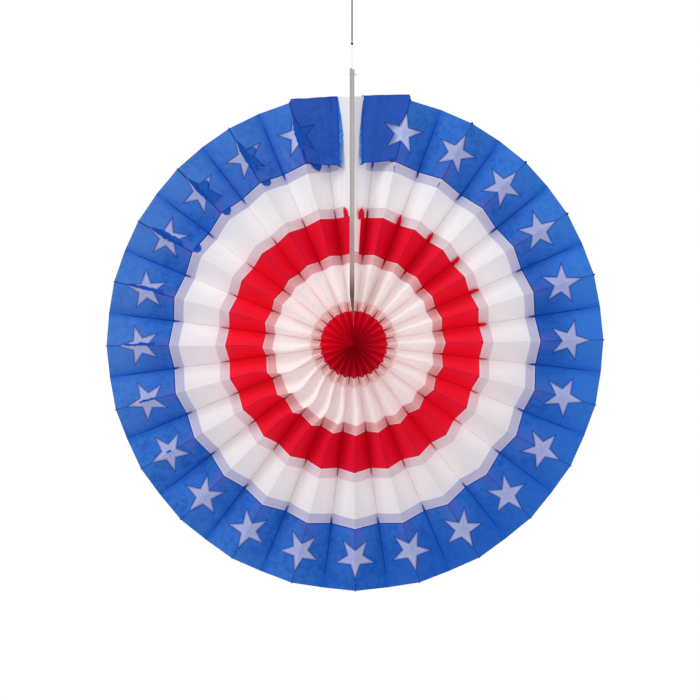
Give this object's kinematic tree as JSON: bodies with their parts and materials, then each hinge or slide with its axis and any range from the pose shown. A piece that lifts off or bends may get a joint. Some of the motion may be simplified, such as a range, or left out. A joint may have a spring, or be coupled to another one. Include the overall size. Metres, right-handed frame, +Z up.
{
  "type": "paper fan medallion",
  "caption": "Hanging pleated tissue rosette with a star-cut blue rim ring, a red ring and a red centre on white, joined at two end cards and hung on a cord loop.",
  "frame": {"origin": "inside the top of the hanging loop, where a hook carries the fan", "axes": "the fan hangs in the XZ plane; its star side faces -Y and +Z is up"},
  "size_m": [0.6349, 0.0526, 0.8017],
  "materials": {
    "white_tissue": "thin matte tissue paper",
    "blue_tissue": "thin matte tissue paper",
    "red_tissue": "thin matte tissue paper",
    "grey_card": "raw grey board",
    "white_thread": "twisted cotton thread",
    "dark_cord": "twisted dark cord"
  },
  "bodies": {
    "root": {"white_pleated_fan": "white_tissue", "blue_star_ring_front": "blue_tissue", "blue_ring_rear": "blue_tissue", "red_ring_front": "red_tissue", "red_ring_rear": "red_tissue", "red_centre_front": "red_tissue", "red_centre_rear": "red_tissue", "centre_tie": "white_thread", "end_card_left": "grey_card", "end_card_right": "grey_card", "card_thread": "white_thread", "hanging_thread": "white_thread", "cord_knot": "dark_cord", "hanging_cord": "dark_cord", "loop_knot": "dark_cord"}
  },
  "joints": []
}
